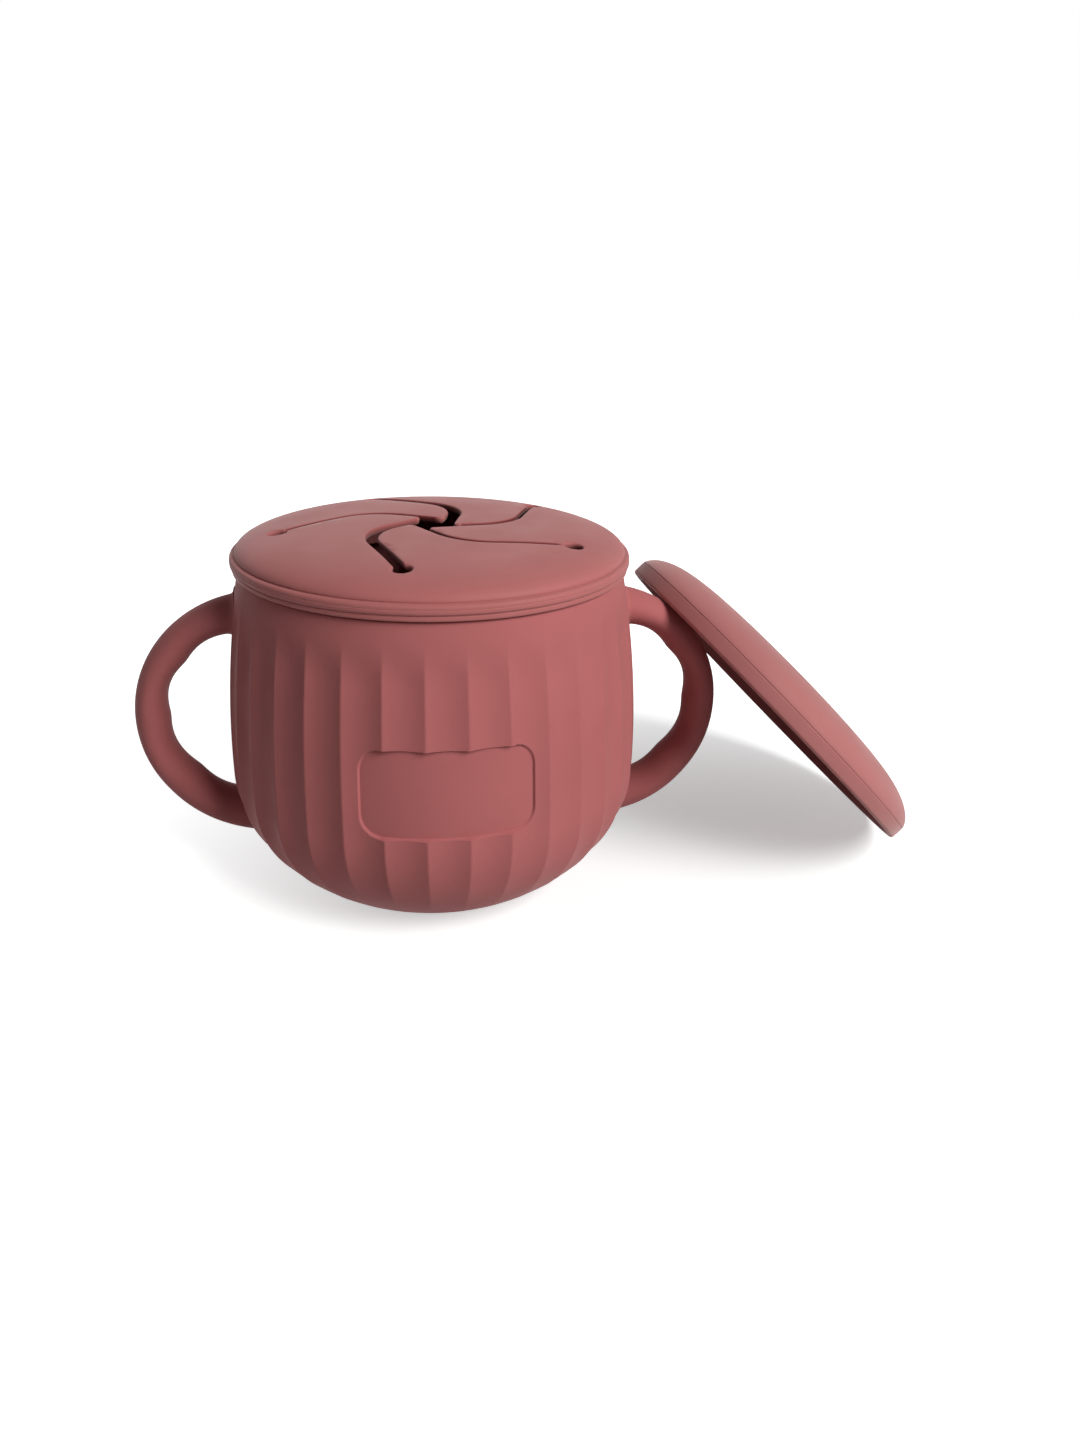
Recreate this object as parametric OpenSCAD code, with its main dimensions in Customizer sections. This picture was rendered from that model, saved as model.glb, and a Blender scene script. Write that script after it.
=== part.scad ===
// Toddler snack cup: a fluted silicone cup with two finger-grip handles, a
// press-on snack lid whose five curved flaps part for a small hand, and a
// domed dust cover that leans on the right-hand handle with its edge on the
// floor. The origin is the centre of the foot, +Z is up, the handles lie
// along X and the plaque faces -Y.

/* [Cup] */
// Height of the shoulder that the lid's skirt comes down to
body_h = 78; // [70:0.5:88]
// Radius of the body at the shoulder
neck_r = 43.6; // [42:0.2:45]
// Largest radius of the body
belly_r = 48.7; // [46.5:0.1:52]
// Height of the largest radius above the floor
belly_z = 30; // [26:0.5:34]
// Radius at which the bowl's curve starts at the floor
base_r = 23; // [20:0.5:26]
// Fullness of the bowl's lower curve
bowl_p = 2.04; // [1.8:0.02:2.4]
// Squareness of the bowl's lower curve
bowl_q = 1.43; // [1.2:0.01:1.7]
// Wall thickness, measured at the flute ridges
wall = 3; // [2.4:0.1:3.6]
// Thickness of the cup's floor above the foot
floor_t = 3; // [2:0.1:4]
// Radius of the foot that stands on the table
foot_r = 24.5; // [20:0.5:25]
// Height of the foot
foot_h = 1.2; // [0.8:0.1:2]
// Height of the rim that goes up into the lid's channel
rim_h = 2.8; // [2:0.1:3.2]
// Thickness of that rim
rim_t = 2; // [1.6:0.1:2.2]

/* [Flutes] */
// Number of flutes around the body
flutes = 34; // [28:2:40]
// Depth of a flute at the belly
flute_depth = 0.9; // [0.3:0.05:1.2]
// Height at which the flutes have faded out
flute_top = 74; // [66:0.5:76]
// Length over which they fade out
flute_fade = 9; // [5:0.5:14]

/* [Plaque] */
// Width of the bare plaque, seen from the front
plaque_w = 37; // [24:0.5:44]
// Height of the plaque
plaque_h = 20; // [12:0.5:26]
// Height of the plaque's centre above the floor
plaque_z = 42.2; // [38:0.2:46]
// Corner radius of the plaque
plaque_corner = 5; // [2:0.5:5.5]
// Depth of the plaque below the flute ridges
plaque_depth = 1.3; // [1:0.05:1.5]

/* [Handles] */
// Distance of the handle arc's centre from the cup's axis
handle_x = 39.5; // [38:0.2:42]
// Height of the handle arc's centre
handle_z = 41.2; // [39:0.1:43]
// Outer radius of the handle's arc
handle_outer_r = 30.7; // [29.5:0.1:32]
// Radius of the finger opening, before it is stretched
handle_inner_r = 20.9; // [19.5:0.1:22]
// How much the finger opening is stretched away from the cup
handle_stretch = 2.4; // [0:0.1:3]
// How much the finger opening is stretched upward
handle_lift = 0.8; // [0:0.1:2]
// Width of the handle from front to back
handle_w = 11.6; // [8:0.2:13]
// Depth of the finger grips, from crest to hollow
grip_depth = 0.8; // [0:0.05:1.2]
// Angle of the middle finger grip above the horizontal
grip_start = 20; // [0:1:30]
// Angle from one finger grip to the next
grip_pitch = 38; // [30:1:45]

/* [Snack lid] */
// How far the lid's bead stands out from the cup's shoulder
bead_out = 1.4; // [1:0.1:2.4]
// How far in from the bead the dome starts
dome_in = 1.15; // [0.6:0.05:2]
// Height of the dome above the bead
dome_h = 5.5; // [3.5:0.1:7]
// Roundness of the dome's shoulder
dome_m = 3.08; // [2.4:0.02:3.6]
// Squareness of the dome's edge
dome_n = 2.2; // [1.6:0.05:2.6]
// Thickness of the membrane and its flaps
flap_t = 1.8; // [1.2:0.1:2.2]
// Thickness of the inner ring that plugs the mouth
plug_t = 2.2; // [1.6:0.1:2.6]
// Depth of the inner ring below the rim's top
plug_depth = 7.4; // [5:0.2:10]
// Clearance between the lid and the cup's rim
lid_gap = 0.3; // [0.2:0.05:0.4]

/* [Snack flaps] */
// Number of slits, and so of flaps
slit_count = 5; // [4:1:6]
// Width of a slit
slit_w = 1.6; // [1:0.1:2]
// Radius of the round hole that ends a slit
hole_r = 2; // [1.4:0.1:2.2]
// Distance of those holes from the lid's axis
hole_ring_r = 34.3; // [32:0.1:35]
// Angle of the front slit's hole, from +X
hole_angle = -103; // [-120:1:-60]
// Angle between a slit's outer straight and the line to the lid's axis
slit_lead = 31; // [27:1:34]
// Length of the slit's outer straight
slit_straight = 16.9; // [15:0.1:18]
// Radius of the slit's bend
slit_bend_r = 13.2; // [12:0.1:14]
// Distance from the lid's axis to the flat sides of the centre opening
opening_r = 3.2; // [2.8:0.1:4]
// How far the hinge line meets the next slit inside its hole
hinge_step = 8; // [6:0.5:10]
// Gap between a flap and the lid along the hinge line
hinge_gap = 0.3; // [0.2:0.05:0.4]
// Angle that a flap's root leaves free for bending down
bend_down = 57; // [40:1:65]
// Angle that a flap's root leaves free for bending up
bend_up = 32; // [20:1:40]

/* [Dust cover] */
// Outer radius of the cover
cover_r = 49; // [47:0.1:50]
// Wall thickness of the cover
cover_t = 1.8; // [1.6:0.1:2.6]
// Height of the cover's straight skirt
skirt_h = 3.5; // [3:0.1:6]
// Height of the cover's dome above the skirt
cover_dome_h = 7.9; // [7:0.1:10]
// Flatness of the cover's dome
cover_m = 6; // [3:0.1:6]
// Squareness of the edge of the cover's dome
cover_n = 1.6; // [1.3:0.05:2]
// Angle at which the cover leans, from the floor
cover_lean = 45.4; // [42:0.1:52]
// Turn of the leaning cover about the vertical
cover_turn = 3.5; // [0:0.5:8]
// How far behind the cup's axis the cover's centre lies
cover_y = 11.5; // [0:0.5:16]
// Clearance between the cover's rim and the handle it leans on
lean_gap = 0.25; // [0.1:0.05:0.4]

/* [Hidden] */
silicone = [0.66, 0.41, 0.41];
deep_silicone = [0.58, 0.33, 0.34];
flute_steps = 6;            // facets across one flute
bowl_rows = 9;              // rows of facets below the belly
wall_rows = 8;              // rows of facets above the belly
dome_steps = 16;            // cones along a dome's profile
bend_steps = 10;            // facets along a slit's bend
handle_rings = 44;
handle_sides = 16;
handle_reach_deg = 100;     // the tube runs this far each way, into the body
touch_gap = 0.1;            // between a handle's root and the flute ridges
inner_r = neck_r - wall;
rim_r = inner_r + rim_t;
rim_z = body_h + rim_h;
floor_z = foot_h + floor_t;
plug_r = inner_r - lid_gap;
plug_in_r = plug_r - plug_t;
roof_z = rim_z + lid_gap;
lip_z = body_h + lid_gap;
bead_r = neck_r + bead_out;
dome_r = bead_r - dome_in;
lip_r = bead_r - 0.4;
crease_r = bead_r - 0.65;
dome_z = lip_z + 3.6;       // height of the crease over the bead
skirt_in_r = rim_r + lid_gap;
cover_in_r = cover_r - cover_t;
cover_edge = 0.5;           // chamfer on the outside of the cover's rim
slit_pitch = 360 / slit_count;

// ---- cup ----------------------------------------------------------------

// Radius of the body over the flute ridges at height z
function body_r(z) = z < belly_z
    ? base_r + (belly_r - base_r)
        * pow(1 - pow((belly_z - z) / belly_z, bowl_p), 1 / bowl_q)
    : belly_r - (belly_r - neck_r) * pow((z - belly_z) / (body_h - belly_z), 2);

// How strongly the flutes show at height z, from 0 to 1
function flute_fullness(z) =
    let (u = min(1, max(0, (flute_top - z) / flute_fade)))
    u * u * (3 - 2 * u);

// Radius of the fluted skin at angle a and height z: shallow hollows that
// meet in ridges, with the middle of a hollow at the plaque's centre
function skin_r(a, z) =
    let (t = (a + 90) * flutes / 360, u = 2 * (t - round(t)))
    body_r(z) - flute_depth * (body_r(z) / belly_r) * flute_fullness(z) * (1 - u * u);

row_z = concat(
    [for (i = [0 : bowl_rows]) foot_h + (belly_z - foot_h) * pow(i / bowl_rows, 1.8)],
    [for (i = [1 : wall_rows]) belly_z + (body_h - belly_z) * i / wall_rows]
);

module fluted_skin() {
    columns = flutes * flute_steps;
    rows = len(row_z);
    points = [
        for (z = row_z, j = [0 : columns - 1])
            let (a = -90 + 360 * (j / columns))
            [skin_r(a, z) * cos(a), skin_r(a, z) * sin(a), z]
    ];
    sides = [
        for (i = [0 : rows - 2], j = [0 : columns - 1])
            let (k = (j + 1) % columns, low = i * columns, high = low + columns)
            each [[low + j, high + k, low + k], [low + j, high + j, high + k]]
    ];
    top = [for (j = [columns - 1 : -1 : 0]) (rows - 1) * columns + j];
    bottom = [for (j = [0 : columns - 1]) j];
    polyhedron(points, concat(sides, [bottom, top]), convexity = 4);
}

// Outline of the bowl's inside, which follows the outside a wall's width in
function inside_r(z) =
    let (share = (z - floor_z) / (belly_z - floor_z))
    z < belly_z
        ? body_r(foot_h + share * (belly_z - foot_h)) - wall
        : max(inner_r, body_r(z) - wall);

module cup_inside() {
    rows = 24;
    top_z = body_h - 6;
    rotate_extrude($fn = 96)
        polygon(concat(
            [[0, floor_z]],
            [
                for (i = [0 : rows])
                    let (z = floor_z + (top_z - floor_z) * pow(i / rows, 1.4))
                    [inside_r(z), z]
            ],
            [[inner_r, body_h - 3], [inner_r, rim_z + 1], [0, rim_z + 1]]
        ));
}

// Everything outside a smooth body that is sunk below the flute ridges
module plaque_cutter() {
    half_w = plaque_w / 2 - plaque_corner;
    half_h = plaque_h / 2 - plaque_corner;
    low_z = plaque_z - plaque_h;
    high_z = plaque_z + plaque_h;
    difference() {
        translate([0, 0, plaque_z])
            rotate([90, 0, 0])
                linear_extrude(belly_r + 2)
                    union() {
                        square([2 * half_w, plaque_h], center = true);
                        square([plaque_w, 2 * half_h], center = true);
                        for (x = [-half_w, half_w], y = [-half_h, half_h])
                            translate([x, y])
                                circle(plaque_corner, $fn = 48);
                    }
        rotate_extrude($fn = 96)
            polygon(concat(
                [[0, low_z]],
                [
                    for (i = [0 : 12])
                        let (z = low_z + (high_z - low_z) * i / 12)
                        [body_r(z) - plaque_depth, z]
                ],
                [[0, high_z]]
            ));
    }
}

module cup_body() {
    color(silicone)
        difference() {
            union() {
                fluted_skin();
                cylinder(r = foot_r, h = foot_h + 1, $fn = 96);
                translate([0, 0, body_h - 2])
                    cylinder(r = rim_r, h = rim_h + 2, $fn = 96);
            }
            cup_inside();
            plaque_cutter();
        }
}

// ---- handles ------------------------------------------------------------

// Radius of the finger opening's edge from the arc's centre at angle a
function grip_r(a) =
    handle_inner_r + handle_stretch * cos(a) + handle_lift * sin(a)
        + grip_depth / 2 * cos((a - grip_start) * 360 / grip_pitch);

function handle_ring(a) =
    let (
        mid = (handle_outer_r + grip_r(a)) / 2,
        half = (handle_outer_r - grip_r(a)) / 2
    )
    [
        for (s = [0 : handle_sides - 1])
            let (b = 360 * s / handle_sides, r = mid + half * cos(b))
            [
                handle_x + r * cos(a),
                handle_w / 2 * sin(b),
                handle_z + r * sin(a)
            ]
    ];

// The right-hand handle's tube, cut to the body's ridges
module handle() {
    n = handle_sides;
    points = [
        for (i = [0 : handle_rings])
            each handle_ring(handle_reach_deg * (2 * i / handle_rings - 1))
    ];
    sides = [
        for (i = [0 : handle_rings - 1], s = [0 : n - 1])
            let (k = (s + 1) % n, low = i * n, high = low + n)
            each [[low + s, low + k, high + k], [low + s, high + k, high + s]]
    ];
    first = [for (s = [n - 1 : -1 : 0]) s];
    last = [for (s = [0 : n - 1]) handle_rings * n + s];
    difference() {
        polyhedron(points, concat(sides, [first, last]), convexity = 4);
        rotate_extrude($fn = 96)
            polygon(concat(
                [[0, 0]],
                [for (z = row_z) [body_r(z) + touch_gap, z]],
                [[0, body_h]]
            ));
    }
}

module left_handle() {
    color(silicone)
        mirror([1, 0, 0])
            handle();
}

module right_handle() {
    color(silicone)
        handle();
}

// ---- snack lid ----------------------------------------------------------

function dome_at(r) =
    dome_z + dome_h * pow(1 - pow(min(1, r / dome_r), dome_m), 1 / dome_n);

// Radii that follow the dome closely at its rounded edge
dome_radii = [for (i = [0 : dome_steps]) dome_r * sin(90 * (1 - i / dome_steps))];

module lid_shell() {
    under = [for (i = [dome_steps : -1 : 0]) if (dome_radii[i] < plug_in_r) dome_radii[i]];
    rotate_extrude($fn = 96)
        polygon(concat(
            [
                [plug_in_r, rim_z - plug_depth],
                [plug_r - 0.6, rim_z - plug_depth],
                [plug_r, rim_z - plug_depth + 0.8],
                [plug_r, roof_z],
                [skirt_in_r, roof_z],
                [skirt_in_r, lip_z],
                [lip_r - 0.5, lip_z],
                [lip_r, lip_z + 0.5],
                [lip_r, lip_z + 0.9],
                [crease_r, lip_z + 1.2],
                [bead_r - 0.1, lip_z + 1.5],
                [bead_r, lip_z + 1.9],
                [bead_r, lip_z + 2.5],
                [bead_r - 0.4, lip_z + 3.2]
            ],
            [for (r = dome_radii) [r, dome_at(r)]],
            [for (r = under) [r, dome_at(r) - flap_t]],
            [[plug_in_r, dome_at(plug_in_r) - flap_t]]
        ));
}

// The slit whose hole lies at +X. It runs straight in from the hole, bends
// clockwise and ends straight beside the centre opening.
slit_dir = 180 + slit_lead;
slit_bend_at = [
    hole_ring_r + slit_straight * cos(slit_dir) + slit_bend_r * sin(slit_dir),
    slit_straight * sin(slit_dir) - slit_bend_r * cos(slit_dir)
];
slit_side_r = opening_r - slit_w / 2;
// Direction from the lid's axis to the flat side that this slit runs along
slit_side_dir = atan2(slit_bend_at[1], slit_bend_at[0])
    - acos((slit_side_r - slit_bend_r) / norm(slit_bend_at));
slit_end_dir = slit_side_dir + 270;

function bend_point(dir) = slit_bend_at + slit_bend_r * [-sin(dir), cos(dir)];

slit_foot = slit_side_r * [cos(slit_side_dir), sin(slit_side_dir)];
// Points of the slit's centre line, each with the line's direction there
slit_line = concat(
    [[[hole_ring_r, 0], slit_dir]],
    [
        for (i = [0 : bend_steps])
            let (dir = slit_dir + (slit_end_dir - slit_dir) * i / bend_steps)
            [bend_point(dir), dir]
    ],
    [[slit_foot, slit_end_dir]]
);

function aside(entry, distance) =
    entry[0] + distance * [-sin(entry[1]), cos(entry[1])];

function turned(p, a) = [p[0] * cos(a) - p[1] * sin(a), p[0] * sin(a) + p[1] * cos(a)];

module slit_outline() {
    last = len(slit_line) - 1;
    polygon(concat(
        [for (i = [0 : last]) aside(slit_line[i], slit_w / 2)],
        [for (i = [last : -1 : 0]) aside(slit_line[i], -slit_w / 2)]
    ));
}

// All the slits, their end holes and the centre opening, seen from above
module slits() {
    for (k = [0 : slit_count - 1])
        rotate(hole_angle + k * slit_pitch) {
            slit_outline();
            translate([hole_ring_r, 0])
                circle(hole_r, $fn = 32);
        }
    rotate(hole_angle + slit_side_dir + slit_pitch / 2)
        circle(opening_r / cos(slit_pitch / 2), $fn = slit_count);
}

// Where the hinge line of the flap beside the hole at +X meets the next slit
next_dir = slit_dir + slit_pitch;
hinge_end = turned(
    [hole_ring_r + hinge_step * cos(slit_dir), hinge_step * sin(slit_dir)],
    slit_pitch
);
hinge_dir = atan2(hinge_end[1], hinge_end[0] - hole_ring_r);
hinge_out = hinge_dir - 90;

hinge_length = norm([hinge_end[0] - hole_ring_r, hinge_end[1]]);
// The hinge lies inside the membrane and climbs with the dome.
hinge_depth = flap_t - 0.76;
hinge_z = dome_at(hole_ring_r) - hinge_depth;
hinge_tilt = atan2(dome_at(norm(hinge_end)) - dome_at(hole_ring_r), hinge_length);

// What a flap may fill on the inner side of its hinge: a wedge whose edge is
// the hinge line, so that it clears the lid however the flap bends
module hinge_wedge() {
    reach = 20;
    translate([hole_ring_r, 0, hinge_z])
        rotate([0, 0, hinge_dir])
            rotate([0, -hinge_tilt, 0])
                translate([-reach, 0, 0])
                    rotate([90, 0, 90])
                        linear_extrude(hinge_length + 2 * reach)
                            polygon([
                                [0, 0],
                                [reach * tan(bend_up), reach],
                                [3 * reach, reach],
                                [3 * reach, -reach],
                                [reach * tan(bend_down), -reach]
                            ]);
}

// The region between two slits' centre lines and the hinge line, with the
// hinge line moved outward by a distance
module flap_region(shift) {
    last = len(slit_line) - 1;
    first_step = shift / cos(slit_dir - hinge_out);
    next_step = shift / cos(next_dir - hinge_out);
    polygon(concat(
        [[hole_ring_r, 0] + first_step * [cos(slit_dir), sin(slit_dir)]],
        [for (i = [1 : last]) slit_line[i][0]],
        [for (i = [last : -1 : 1]) turned(slit_line[i][0], slit_pitch)],
        [hinge_end + next_step * [cos(next_dir), sin(next_dir)]]
    ));
}

low_z = rim_z - plug_depth - 1;
high_z = dome_z + dome_h + 1;

module snack_lid() {
    color(silicone)
        difference() {
            lid_shell();
            translate([0, 0, low_z])
                linear_extrude(high_z - low_z)
                    union() {
                        slits();
                        for (k = [0 : slit_count - 1])
                            rotate(hole_angle + k * slit_pitch)
                                flap_region(hinge_gap);
                    }
        }
}

module flap(k) {
    color(deep_silicone)
        intersection() {
            lid_shell();
            translate([0, 0, low_z])
                linear_extrude(high_z - low_z)
                    difference() {
                        rotate(hole_angle + k * slit_pitch)
                            flap_region(0);
                        slits();
                    }
            rotate([0, 0, hole_angle + k * slit_pitch])
                hinge_wedge();
        }
}

module flap_1() {
    flap(0);
}

module flap_2() {
    flap(1);
}

module flap_3() {
    flap(2);
}

module flap_4() {
    flap(3);
}

module flap_5() {
    flap(4);
}

// ---- dust cover ---------------------------------------------------------

// Height of a dome of radius r_max and height h over the skirt's top
function cover_at(r, r_max, h) =
    skirt_h + h * pow(1 - pow(min(1, r / r_max), cover_m), 1 / cover_n);

function arc_radii(r_max) = [for (i = [0 : dome_steps]) r_max * sin(90 * (1 - i / dome_steps))];

// The cover as it would sit on the cup, with its rim at z = 0
module cover_shell() {
    outer = arc_radii(cover_r);
    inner = arc_radii(cover_in_r);
    rotate_extrude($fn = 96)
        polygon(concat(
            [[cover_in_r, 0], [cover_r - cover_edge, 0], [cover_r, cover_edge]],
            [for (r = outer) [r, cover_at(r, cover_r, cover_dome_h)]],
            [
                for (i = [dome_steps : -1 : 0])
                    [inner[i], cover_at(inner[i], cover_in_r, cover_dome_h - cover_t)]
            ]
        ));
}

// The rim's lowest point is on the floor, and the rim's inner edge meets the
// outer arc of the right-hand handle in the handle's own plane.
cover_z = cover_r * sin(cover_lean) - cover_edge * min(sin(cover_lean), cos(cover_lean));
lean_side = cos(cover_lean) * sin(cover_turn);
rest_dir = acos(cover_y / (cover_in_r * norm([lean_side, cos(cover_turn)])))
    - atan2(cos(cover_turn), lean_side);
rest_along = cover_in_r * cos(rest_dir);
rest_across = cover_in_r * sin(rest_dir);
rest_z = cover_z + rest_along * sin(cover_lean);
rest_x = handle_x + sqrt(pow(handle_outer_r + lean_gap, 2) - pow(rest_z - handle_z, 2));
cover_x = rest_x + rest_along * cos(cover_lean) * cos(cover_turn)
    + rest_across * sin(cover_turn);

module dust_cover() {
    color(silicone)
        translate([cover_x, cover_y, cover_z])
            rotate([0, 0, cover_turn])
                rotate([0, cover_lean, 0])
                    cover_shell();
}

cup_body();
left_handle();
right_handle();
snack_lid();
flap_1();
flap_2();
flap_3();
flap_4();
flap_5();
dust_cover();
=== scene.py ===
"""Dresses the toddler snack cup: the fluted cup with its two grips, the
snack lid with five petals cut in it, and the dust cover that leans on the
right-hand grip. The pieces' sizes are in millimetres until a mesh is made.
Those of the floor, the lamps and the camera are in metres. The cup stands
on z = 0 with its plaque towards -Y."""

from __future__ import annotations

import functools
import logging
import math
from collections.abc import Callable, Sequence
from dataclasses import dataclass, field
from enum import Enum

import bpy
import numpy as np
from mathutils import Matrix, Vector
from mathutils.geometry import delaunay_2d_cdt

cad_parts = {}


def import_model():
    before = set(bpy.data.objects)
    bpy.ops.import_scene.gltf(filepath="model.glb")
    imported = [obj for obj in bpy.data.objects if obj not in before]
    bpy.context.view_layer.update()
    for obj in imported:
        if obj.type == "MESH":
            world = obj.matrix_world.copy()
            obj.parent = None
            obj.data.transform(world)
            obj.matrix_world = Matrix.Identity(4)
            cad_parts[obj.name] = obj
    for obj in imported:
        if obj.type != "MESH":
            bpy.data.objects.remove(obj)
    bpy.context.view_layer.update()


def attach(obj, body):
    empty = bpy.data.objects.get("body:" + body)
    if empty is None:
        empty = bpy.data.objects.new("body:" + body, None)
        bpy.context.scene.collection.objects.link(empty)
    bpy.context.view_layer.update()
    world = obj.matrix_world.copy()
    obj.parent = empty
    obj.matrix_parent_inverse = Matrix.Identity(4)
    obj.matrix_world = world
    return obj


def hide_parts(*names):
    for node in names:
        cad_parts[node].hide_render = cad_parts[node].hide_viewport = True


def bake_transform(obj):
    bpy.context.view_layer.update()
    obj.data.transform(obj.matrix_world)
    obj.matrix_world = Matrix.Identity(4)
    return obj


MM = 0.001
SLIT_SHADE_LAYER = "slit_shade_paint"  # painted shade on the walls of narrow slits, 0 to 1
SHARE_LAYER = "flute_share"  # how much of a flute's depth a point gets, 0 to 1
ARC_STEP = 0.2  # radians between the points of a rounded corner
WHITE = (1.0, 1.0, 1.0, 1.0)
LOG = logging.getLogger("snack_cup")

Line = tuple[np.ndarray, np.ndarray]  # points seen from above, and the slit's gap at each
LineAtInset = Callable[[float], Line]


def unit(degrees: float) -> np.ndarray:
    """Returns the unit vector that points that way, seen from above."""
    turn = math.radians(degrees)
    return np.array([math.cos(turn), math.sin(turn)])


def turned(points: np.ndarray, degrees: float) -> np.ndarray:
    """Returns points seen from above, turned about the cup's axis."""
    x, y = unit(degrees)
    return points @ np.array([[x, y], [-y, x]])


def spread(start: float, stop: float, pitch: float) -> np.ndarray:
    """Returns evenly spaced values from start to stop, about a pitch apart."""
    return np.linspace(start, stop, max(2, round(abs(stop - start) / pitch) + 1))


def smooth_step(share: np.ndarray) -> np.ndarray:
    """Returns the share eased at both ends and held within 0 and 1."""
    held = np.clip(share, 0.0, 1.0)
    return held * held * (3.0 - 2.0 * held)


@dataclass(frozen=True)
class Corner:
    """A corner of a turned profile, with the radius that rounds it."""

    r: float
    z: float
    rounding: float = 0.0


def rounded(corners: Sequence[Corner]) -> np.ndarray:
    """Draws the line through some corners, with an arc at each rounded one.

    Args:
        corners: The corners in order. The first and last stay as they are.

    Returns:
        The line's points, as radius and height.
    """
    found: list[np.ndarray] = []
    for i, corner in enumerate(corners):
        here = np.array([corner.r, corner.z])
        if not corner.rounding or i in (0, len(corners) - 1):
            found.append(here)
            continue
        back = np.array([corners[i - 1].r, corners[i - 1].z]) - here
        on = np.array([corners[i + 1].r, corners[i + 1].z]) - here
        back /= np.linalg.norm(back)
        on /= np.linalg.norm(on)
        turn = math.acos(np.clip(-back @ on, -1.0, 1.0))
        inward = (back + on) / np.linalg.norm(back + on)
        centre = here + inward * corner.rounding / math.cos(turn / 2)
        first = here + back * corner.rounding * math.tan(turn / 2) - centre
        last = here + on * corner.rounding * math.tan(turn / 2) - centre
        for share in np.linspace(0, 1, max(3, math.ceil(turn / ARC_STEP) + 1)):
            blend = math.sin((1 - share) * turn) * first + math.sin(share * turn) * last
            found.append(centre + blend / math.sin(turn))
    return np.array(found)


class Shell:
    """A closed surface that is gathered row by row, in millimetres."""

    def __init__(self) -> None:
        """Starts with no points."""
        self.points: list[np.ndarray] = []
        self.faces: list[tuple[int, ...]] = []
        self.normals: dict[int, np.ndarray] = {}
        # painted shade on the walls of narrow slits, by point number
        self.painted_shades: dict[int, float] = {}
        self.count = 0

    def row(self, points: np.ndarray) -> np.ndarray:
        """Adds some points and returns their numbers.

        Args:
            points: The points, one to a row.

        Returns:
            Their numbers in the mesh.
        """
        self.points.append(np.asarray(points, float).reshape(-1, 3))
        self.count += len(self.points[-1])
        return np.arange(self.count - len(self.points[-1]), self.count)

    def band(self, low: np.ndarray, high: np.ndarray, ring: bool = True) -> None:
        """Joins two rows with four-sided faces.

        Args:
            low: The first row, anticlockwise seen from outside and above.
            high: The row that follows it along the surface.
            ring: Whether the rows close on themselves.
        """
        last = len(low) if ring else len(low) - 1
        for j in range(last):
            k = (j + 1) % len(low)
            self.faces.append((low[j], low[k], high[k], high[j]))

    def cap(self, row: np.ndarray, centre: np.ndarray, above: bool) -> None:
        """Closes a ring with a fan of triangles about one point.

        Args:
            row: The ring's point numbers, anticlockwise seen from above.
            centre: The point in its middle.
            above: Whether the fan is seen from above.
        """
        hub = self.row(centre)[0]
        for j in range(len(row)):
            k = (j + 1) % len(row)
            pair = (row[j], row[k]) if above else (row[k], row[j])
            self.faces.append((*pair, hub))

    def turn(self, profile: np.ndarray, angles: np.ndarray) -> list[np.ndarray]:
        """Turns a profile about the axis and joins its rows.

        Args:
            profile: Radius and height, going up outside and down inside.
            angles: The columns' angles in radians, all the way round.

        Returns:
            The rows' point numbers, in the profile's order.
        """
        flat = np.stack([np.cos(angles), np.sin(angles)], axis=1)
        rows = []
        for r, z in profile:
            rows.append(self.row(np.column_stack([flat * r, np.full(len(angles), z)])))
        for low, high in zip(rows, rows[1:]):
            self.band(low, high)
        return rows

    def build(
        self,
        name: str,
        material: bpy.types.Material,
        place: Matrix | None = None,
        crease: float = 50.0,
    ) -> bpy.types.Object:
        """Makes the object.

        Args:
            name: The object's name.
            material: Its finish.
            place: Where it stands, in metres. None leaves it on the cup's axis.
            crease: The angle in degrees from which an edge is sharp.

        Returns:
            The object, at the origin, with its place in its mesh.
        """
        mesh = bpy.data.meshes.new(name)
        mesh.from_pydata((np.vstack(self.points) * MM).tolist(), [], self.faces)
        if place is not None:
            mesh.transform(place)
        mesh.shade_smooth()
        mesh.set_sharp_from_angle(angle=math.radians(crease))
        if self.normals:
            given = np.zeros((self.count, 3))
            given[list(self.normals)] = list(self.normals.values())
            mesh.normals_split_custom_set_from_vertices(given.tolist())
        # writes the painted slit shade as a point attribute that darkens the material
        if self.painted_shades:
            deep = np.zeros(self.count, np.float32)
            deep[list(self.painted_shades)] = list(self.painted_shades.values())
            layer = mesh.attributes.new(SLIT_SHADE_LAYER, "FLOAT", "POINT")
            layer.data.foreach_set("value", deep)
        mesh.materials.append(material)
        mesh.validate()
        thing = bpy.data.objects.new(name, mesh)
        bpy.context.scene.collection.objects.link(thing)
        return thing


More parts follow.
